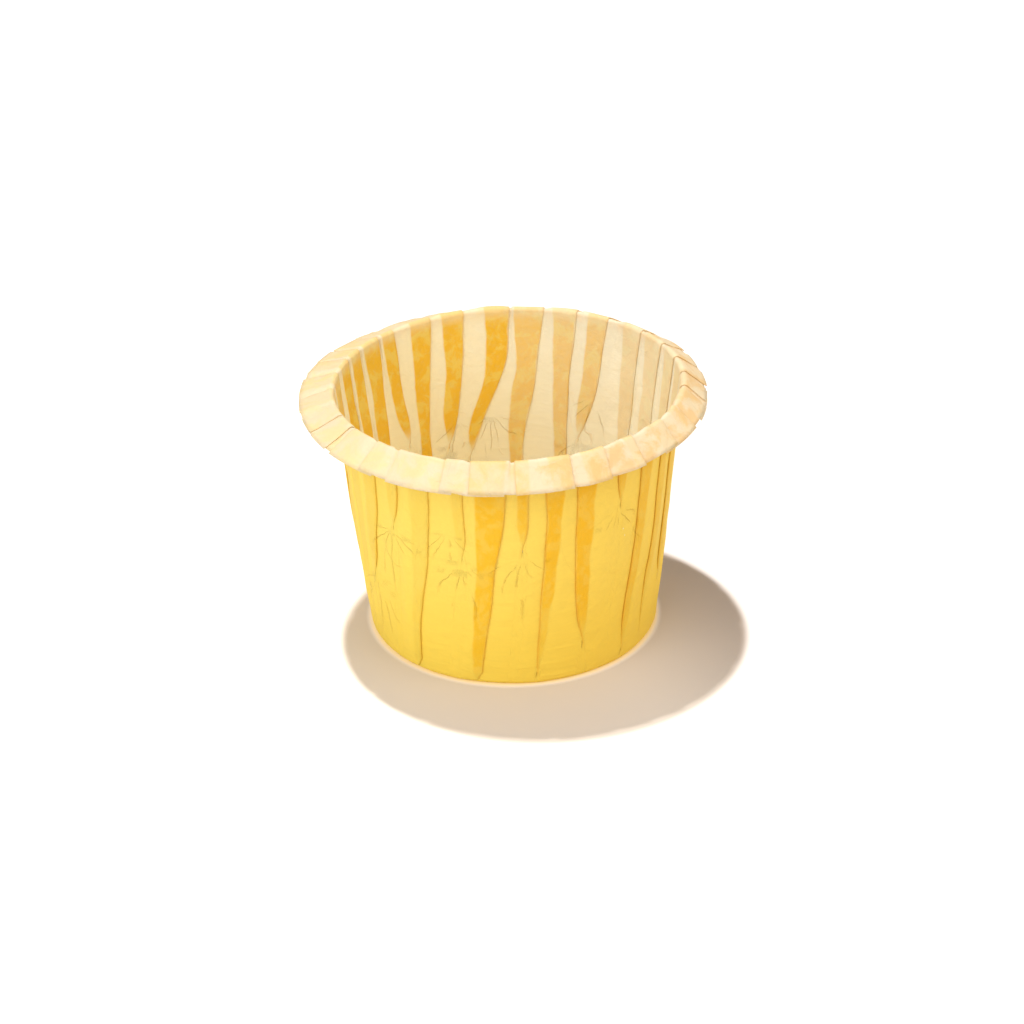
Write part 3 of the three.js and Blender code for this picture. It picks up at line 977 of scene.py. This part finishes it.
@dataclass(frozen=True)
class PaperFinish:
    """Thin greaseproof paper: pale where it is one layer, deeper where three lie together.

    The deeper colour of three layers is partly the paper's own and partly painted shade of the
    light that comes through fewer layers; painted light and shade are also laid on the faces,
    the foot, the collar and the creases. The noises of the grain and the blotches run over the
    flat sheet. Pairs of numbers are the values between which something comes in.
    """

    # Painted light: the outer face is painted a deeper yellow than the inner face for the light
    # that comes through the paper, and the inner face paler against the cup's own shade.
    outside: str = "FFE46A"
    # Painted light: a deeper yellow on the outer face near the foot, for the yellow light bounced
    # up there.
    outside_foot_bounce: str = "FFDB4A"
    inside: str = "FFF7D0"
    # Painted light: the inner face turns paler towards the right, where the high key lights the
    # inner wall.
    inside_lit_right: str = "FFFDE4"
    # Painted shade: a warm darkening multiplied over the outer wall's right side.
    right_shade_tint: str = "F7EDDC"
    # Painted highlight: the collar is painted a paler cream than the wall for the sheen of light
    # on its top; its blotches are painted paler to the left and deeper to the right as painted
    # light and shade.
    collar: str = "F3E0BC"
    collar_patch_shaded_right: str = "F0C684"
    collar_patch_lit_left: str = "F8E0A2"
    # The three layers' colours: partly the paper's deeper colour, partly painted shade where less
    # light comes through three layers.
    outside_band_tint_and_shade: str = "FFCB26"
    inside_band_tint_and_shade: str = "FFC938"
    band_patch: str = "FFDD66"
    # Painted shade: the darker colour laid along pleat creases and crinkle lines, where shade
    # falls in the folds.
    crease_shade_colour: str = "EDAA28"
    through: str = "FFE27A"
    cloud: Noise = Noise(26.0, 3.0, 0.55, 0.3)
    fine: Noise = Noise(190.0, 3.0, 0.6)
    fibre: Noise = Noise(620.0)
    dimple: Noise = Noise(58.0, 3.0, 0.55, 0.5)
    blotch: Noise = Noise(34.0, 4.0, 0.62, 0.4)
    patches: Noise = Noise(44.0, 4.0, 0.62, 0.5)
    fan_wander: Noise = Noise(1.7, 1.0)
    fan_breaks: Noise = Noise(210.0)
    long_lines: Noise = Noise(105.0, 1.0, 0.4, 0.3)
    long_breaks: Noise = Noise(90.0, 1.0)
    to_right: Span = (-0.02, 0.02)
    off_foot: Span = (0.002, 0.03)
    blotch_edge: Span = (0.42, 0.62)
    patch_edge: Span = (0.46, 0.6)
    band_edge: Span = (-0.22, 0.26)
    band_waver: float = 0.9
    band_depth: Span = (0.1, 1.1)
    fan_line: float = 0.08
    fan_lines: float = 2.4
    long_line: float = 0.007
    # how far the crinkle lines are darkened as painted shade
    crinkle_shade: float = 0.2
    edge_shade_width: Span = (0.05, 0.34)
    edge_depth: Span = (0.02, 0.3)
    bump: float = 0.65
    bump_height: float = 0.0004
    roughness: float = 0.62
    shine: float = 0.22
    glow: float = 0.2

    def single_layer(self, bench: NodeBench, sheet: "SheetWires") -> Any:
        """The colour of one layer, with painted light: the outer face a deeper yellow for light
        through the paper, the inner face paler and painted lighter on the right, a painted bounce
        glow at the outer foot, and a mottled collar painted paler for its sheen and deeper to the
        right as painted shade.
        """
        # the inner face, painted lighter on the right; the outer face painted deeper yellow for
        # light through the paper
        inner = bench.blend(sheet.right, colour(self.inside), colour(self.inside_lit_right))
        paper = bench.blend(sheet.side, inner, colour(self.outside))
        # the collar's blotches: real mottling, painted paler to the left and deeper to the right
        # as painted light and shade
        patch = bench.blend(sheet.right, colour(self.collar_patch_lit_left), colour(self.collar_patch_shaded_right))
        blotch = bench.noise(sheet.flat, self.blotch).step(*self.blotch_edge)
        paper = bench.blend(sheet.collar, paper,
                            bench.blend(blotch * 0.75, colour(self.collar), patch))
        # painted bounce light: the outer foot blends to a deeper yellow
        return bench.blend(sheet.foot * sheet.side * 0.6, paper, colour(self.outside_foot_bounce))

    def three_layers(self, bench: NodeBench, sheet: "SheetWires") -> Any:
        """The colour where three layers lie together, partly the paper's deeper colour and partly
        painted shade of less light coming through, with paler patches.
        """
        deep = bench.blend(sheet.side, colour(self.inside_band_tint_and_shade), colour(self.outside_band_tint_and_shade))
        patches = bench.noise(sheet.flat, self.patches).step(*self.patch_edge)
        return bench.blend(patches * (0.85 - sheet.side * 0.45), deep, colour(self.band_patch))

    def layering(self, bench: NodeBench, sheet: "SheetWires") -> Wire:
        """How far the three layers' colour and painted shade show: within the overlap's wavering
        edge, less on the collar.
        """
        overlap = bench.number("overlap") + (sheet.cloud - 0.5) * self.band_waver
        band = overlap.step(*self.band_edge) * sheet.depth.step(*self.band_depth)
        # each pleat's own number sets how deep this painted shade is, and the collar gets less of
        # it
        band = band * sheet.tone * (1.0 - sheet.collar * 0.82)
        return band * (0.8 + sheet.fine * 0.4 - sheet.side * 0.06)

    def crinkles(self, bench: NodeBench, sheet: "SheetWires") -> Wire:
        """Fans of thin broken lines below the pleats' tips, and a few long lines up the wall.

        A fan's lines lie where a phase that grows round its point, bent by noise, is half way
        between whole numbers. The long ones lie where smooth noise crosses its middle.

        Args:
            bench: the material's nodes.
            sheet: what the finish reads.

        Returns:
            The lines, 1 on a line and 0 away from it.
        """
        crumpled, turn = bench.number("crumpled"), bench.number("fan_turn")
        fan = bench.node("ShaderNodeCombineXYZ", {},
                         {0: turn, 1: bench.number("fan_reach") * 0.06}).outputs[0]
        wander = bench.noise(fan, self.fan_wander) * 2.0 + (sheet.fine - 0.5) * 0.2
        phase = turn * self.fan_lines + wander
        folds = 1.0 - (phase.fraction() - 0.5).size().step(0.0, self.fan_line)
        folds = folds * crumpled.step(0.12, 0.6)
        folds = folds * bench.noise(sheet.place, self.fan_breaks).step(0.38, 0.52)
        tall = bench.node("ShaderNodeVectorMath", {"operation": "MULTIPLY"},
                          {0: sheet.place, 1: (1.0, 1.0, 0.4)}).outputs[0]
        middle = (bench.noise(tall, self.long_lines) - 0.5).size()
        long = 1.0 - middle.step(0.0, self.long_line)
        long = long * bench.noise(sheet.place, self.long_breaks).step(0.5, 0.6)
        return (folds + long * (crumpled * 0.6 + 0.16)).least(1.0)

    def pleat_edge_shade(self, bench: NodeBench, sheet: "SheetWires") -> Wire:
        """The thin painted shade line along each pleat's crease, fainter on pale pleats and on the
        collar.
        """
        away = bench.number("sharp") + (sheet.fine - 0.5) * 0.3
        edge = 1.0 - away.step(*self.edge_shade_width)
        edge = edge * sheet.depth.step(*self.edge_depth) * (0.1 + sheet.cloud * 0.5)
        return edge * (sheet.tone * 0.8 + 0.2) * (1.0 - sheet.collar * 0.7)

    def material(self) -> bpy.types.Material:
        """Build the paper's material.

        Returns:
            The material, which reads the sheet's own numbers, its place and its flat UV map.
        """
        material = bpy.data.materials.new("greaseproof_paper")
        bench = NodeBench(material)
        sheet = SheetWires(bench, self)
        paper = bench.blend(self.layering(bench, sheet), self.single_layer(bench, sheet),
                            self.three_layers(bench, sheet))
        # painted shade: crinkles and pleat creases are darkened with the crease colour
        crinkles, line = self.crinkles(bench, sheet), colour(self.crease_shade_colour)
        paper = bench.blend(crinkles * self.crinkle_shade, paper, line)
        paper = bench.blend(self.pleat_edge_shade(bench, sheet), paper, line)
        light = 0.93 + sheet.fine * 0.08 + sheet.fibre * 0.05
        grey = bench.node("ShaderNodeCombineColor", {}, {0: light, 1: light, 2: light}).outputs[0]
        paper = bench.blend(1.0, paper, grey, "MULTIPLY")
        # painted shade: the outer wall is darkened towards the right, where less light falls
        right_shade_mask = sheet.right * sheet.side * (1.0 - sheet.collar)
        paper = bench.blend(right_shade_mask, paper, colour(self.right_shade_tint), "MULTIPLY")
        height = (sheet.fine * 0.22 + sheet.fibre * 0.1 + crinkles * 0.6
                  + bench.noise(sheet.flat, self.dimple) * 1.1 + sheet.cloud * 0.5)
        bump = bench.node("ShaderNodeBump", {}, {"Strength": self.bump, "Height": height,
                                                 "Distance": self.bump_height}).outputs[0]
        body = bench.node("ShaderNodeBsdfPrincipled", {},
                          {"Base Color": paper, "Normal": bump, "Specular IOR Level": self.shine,
                           "Roughness": self.roughness + (sheet.fine - 0.5) * 0.16})
        through = bench.node("ShaderNodeBsdfTranslucent", {},
                             {"Color": colour(self.through), "Normal": bump})
        mixed = bench.node("ShaderNodeMixShader", {},
                           {0: self.glow, 1: body.outputs[0], 2: through.outputs[0]})
        bench.node("ShaderNodeOutputMaterial", {}, {"Surface": mixed.outputs[0]})
        return material


class SheetWires:
    """What the paper's finish reads at each place of the sheet, from 0 to 1 where not a length.

    `side` is 1 outside, `right` 1 at the object's right and `foot` 1 at its foot.
    """

    def __init__(self, bench: NodeBench, finish: PaperFinish) -> None:
        """Read the sheet's flat map, its place, its own numbers and the grain's noises."""
        self.flat = bench.node("ShaderNodeUVMap", {"uv_map": "flat_sheet"}, {}).outputs[0]
        self.place = bench.node("ShaderNodeTexCoord", {}, {}).outputs["Object"]
        self.side = bench.number("side") * 0.5 + 0.5
        self.collar = bench.number("collar")
        self.depth = bench.number("depth")
        self.tone = bench.number("tone")
        self.cloud = bench.noise(self.flat, finish.cloud)
        self.fine = bench.noise(self.flat, finish.fine)
        self.fibre = bench.noise(self.flat, finish.fibre)
        x, _, z = bench.split(self.place)
        self.right = x.step(*finish.to_right)
        self.foot = 1.0 - z.step(*finish.off_foot)


@dataclass(frozen=True)
class FloorFinish:
    """A white floor that shows the camera its shadow darker, and white beyond it.

    For the camera the floor is lifted to white by emission outside a painted shadow disc, and
    inside it is painted darker towards the back right as painted shade. A painted glow of
    emission lies round the foot, for light that comes through the paper.
    """

    bounce: str = "E2DFDA"
    # Painted shade: the floor the camera sees is painted darker towards the back right.
    front: str = "DCD0C4"
    behind: str = "AFA196"
    painted_shade_span: Span = (0.0, 0.045)
    # emission that whites the floor for the camera outside the painted shadow disc
    lift: float = 0.72
    painted_shadow_centre: Triple = (0.0052, -0.0079, 0.0)
    painted_shadow_edge: Span = (0.0345, 0.0365)
    # Painted glow: an emissive yellow ring on the floor round the liner's foot.
    painted_glow_colour: str = "FFC832"
    painted_glow_ring: Span = (0.0248, 0.0263)
    glow: float = 0.4

    def material(self) -> bpy.types.Material:
        """Build the floor's material.

        Returns:
            The material, plain for the light that falls on the object.
        """
        material = bpy.data.materials.new("white_floor")
        bench = NodeBench(material)
        seen = bench.shown()
        place = bench.node("ShaderNodeTexCoord", {}, {}).outputs["Object"]
        x, y, _ = bench.split(place)
        # painted shade: darker towards the back right
        behind = (x + y * 0.6).step(*self.painted_shade_span)
        shade = bench.blend(behind, colour(self.front), colour(self.behind))
        tint = bench.blend(seen, colour(self.bounce), shade)
        body = bench.node("ShaderNodeBsdfPrincipled", {},
                          {"Base Color": tint, "Roughness": 0.9, "Specular IOR Level": 0.1})
        away = bench.node("ShaderNodeVectorMath", {"operation": "DISTANCE"},
                          {0: place, 1: self.painted_shadow_centre}).outputs["Value"]
        # painted shadow: a disc at the shadow's place is left without the white emission
        outside_painted_shadow = Wire(bench, away).step(*self.painted_shadow_edge)
        out = bench.node("ShaderNodeVectorMath", {"operation": "LENGTH"},
                         {0: place}).outputs["Value"]
        # painted glow: a yellow emissive ring round the foot
        glow = 1.0 - Wire(bench, out).step(*self.painted_glow_ring)
        tint = bench.blend(glow, colour("FFFFFF"), colour(self.painted_glow_colour))
        strength = seen * (outside_painted_shadow * self.lift + glow * self.glow)
        lift = bench.node("ShaderNodeEmission", {}, {"Color": tint, "Strength": strength})
        both = bench.node("ShaderNodeAddShader", {}, {0: body.outputs[0], 1: lift.outputs[0]})
        bench.node("ShaderNodeOutputMaterial", {}, {"Surface": both.outputs[0]})
        return material


@dataclass(frozen=True)
class Fill:
    """A square lamp that faces the object, its place and side in metres, its power in watts."""

    name: str
    place: Triple
    size: float
    power: float
    tint: Triple


@dataclass
class Studio:
    """The floor, the lamps and the camera, in metres and degrees."""

    floor_size: float = 6.0
    floor_lines: int = 13
    key_power: float = 1.5
    key_spread: float = 1.6
    key_tint: Triple = (1.0, 0.99, 0.97)
    key_direction: Triple = (0.146, -0.19, -0.972)
    fills: Sequence[Fill] = (
        Fill("front_fill", (-0.75, -1.0, 0.8), 1.2, 10.5, (0.96, 1.0, 1.08)),
        Fill("right_fill", (0.95, -0.5, 0.8), 1.0, 5.6, (1.0, 0.97, 0.9)))
    sky_level: float = 0.72
    target: Triple = (0.0, 0.0, 0.022)
    distance: float = 0.5
    elevation: float = 28.33
    roll: float = -1.0
    sensor: float = 36.0
    lens: float = 101.4
    shift: float = -0.0112

    def floor(self) -> bpy.types.Object:
        """A wide level floor, as a square grid of points.

        Returns:
            The floor.
        """
        count = self.floor_lines
        steps = np.linspace(-self.floor_size / 2.0, self.floor_size / 2.0, count)
        x, y = np.meshgrid(steps, steps)
        vertices = np.stack([x.ravel(), y.ravel(), np.zeros(x.size)], -1)
        cells = np.arange(count - 1)
        first = (cells[:, None] * count + cells).ravel()
        faces = np.stack([first, first + 1, first + count + 1, first + count], -1)
        floor = bpy.data.objects.new("floor", mesh_from("floor", vertices, faces))
        bpy.context.collection.objects.link(floor)
        floor.data.materials.append(FloorFinish().material())
        return floor

    def lamps(self) -> None:
        """A high key from the back left, a fill from the front, one from the right, and a sky."""
        data = bpy.data.lights.new("key", "SUN")
        data.energy = self.key_power
        data.angle = math.radians(self.key_spread)
        data.color = self.key_tint
        key = bpy.data.objects.new("key", data)
        key.rotation_euler = facing(self.key_direction)
        bpy.context.collection.objects.link(key)
        for fill in self.fills:
            data = bpy.data.lights.new(fill.name, "AREA")
            data.size = fill.size
            data.energy = fill.power
            data.color = fill.tint
            lamp = bpy.data.objects.new(fill.name, data)
            lamp.location = fill.place
            lamp.rotation_euler = facing(Vector(self.target) - Vector(fill.place))
            bpy.context.collection.objects.link(lamp)
        self.sky()

    def sky(self) -> None:
        """An even sky, white where it is seen and a little less bright as a light."""
        world = bpy.data.worlds.new("even_sky")
        bench = NodeBench(world)
        level = bench.node("ShaderNodeMapRange", {}, {"Value": bench.shown(),
                                                      "To Min": self.sky_level, "To Max": 1.0})
        sky = bench.node("ShaderNodeBackground", {}, {"Strength": level.outputs[0]})
        bench.node("ShaderNodeOutputWorld", {}, {"Surface": sky.outputs[0]})
        bpy.context.scene.world = world

    def camera(self) -> bpy.types.Object:
        """The camera at the photograph's angle.

        Returns:
            The camera, which is also the scene's.
        """
        data = bpy.data.cameras.new("camera")
        data.sensor_width = self.sensor
        data.lens = self.lens
        data.shift_y = self.shift
        camera = bpy.data.objects.new("camera", data)
        up = math.radians(self.elevation)
        back = Vector((0.0, -math.cos(up), math.sin(up)))
        tilt = Euler((math.pi / 2.0 - up, 0.0, 0.0)).to_matrix().to_4x4()
        turn = Matrix.Rotation(math.radians(self.roll), 4, "Z")
        place = Vector(self.target) + back * self.distance
        camera.matrix_world = Matrix.Translation(place) @ tilt @ turn
        bpy.context.collection.objects.link(camera)
        bpy.context.scene.camera = camera
        return camera


def main() -> None:
    """Build the liner and the set round it, and report each piece."""
    logging.basicConfig(level=logging.INFO, format="%(message)s")
    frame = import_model()
    LOG.info("the frame has %d nodes", len(frame["nodes"]))
    scene = bpy.context.scene
    scene.view_settings.view_transform = "Standard"

    piece = FoldedSheet().build()
    piece.data.materials.append(PaperFinish().material())
    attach(piece, "root")
    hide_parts("cupcake_liner")
    LOG.info("%s: %d faces", piece.name, len(piece.data.polygons))

    studio = Studio()
    floor = studio.floor()
    studio.lamps()
    camera = studio.camera()
    LOG.info("set: %s and %s", floor.name, camera.name)

    bpy.context.view_layer.update()


if __name__ == "__main__":
    main()
